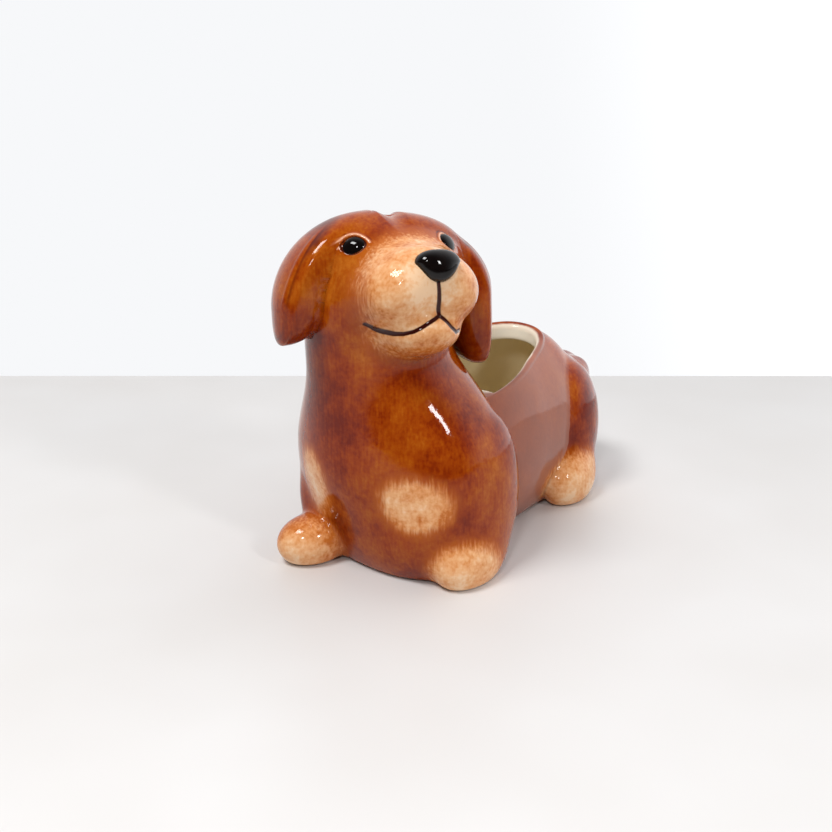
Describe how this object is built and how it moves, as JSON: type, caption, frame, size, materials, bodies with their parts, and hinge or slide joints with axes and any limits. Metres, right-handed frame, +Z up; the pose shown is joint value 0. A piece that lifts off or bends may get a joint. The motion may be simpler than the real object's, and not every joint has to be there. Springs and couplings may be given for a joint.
{
  "type": "ceramic dog figurine planter",
  "caption": "Glazed ceramic puppy figurine lying down with its head raised and turned, hollow back open as a small planter.",
  "frame": {"origin": "centre of the footprint box, on the surface the figurine stands on", "axes": "+X towards the puppy's left side, -Y towards its chest and front paws, +Z up"},
  "size_m": [0.0822, 0.1488, 0.1235],
  "materials": {
    "brown_glaze": "gloss, brushed red-brown glaze over cream clay",
    "cream_glaze": "gloss, cream clay washed with orange-tan glaze",
    "black_glaze": "high gloss, hand-painted black"
  },
  "bodies": {
    "root": {"pot_body_shell": "brown_glaze", "chest_neck_shell": "brown_glaze", "head_shell": "brown_glaze", "muzzle": "cream_glaze", "lower_jaw": "cream_glaze", "nose_pad": "black_glaze", "eye_left": "black_glaze", "eye_right": "black_glaze", "ear_left": "brown_glaze", "ear_right": "brown_glaze", "foreleg_left": "cream_glaze", "foreleg_right": "cream_glaze", "hind_leg_left": "cream_glaze", "hind_leg_right": "cream_glaze", "tail": "brown_glaze"}
  },
  "joints": []
}
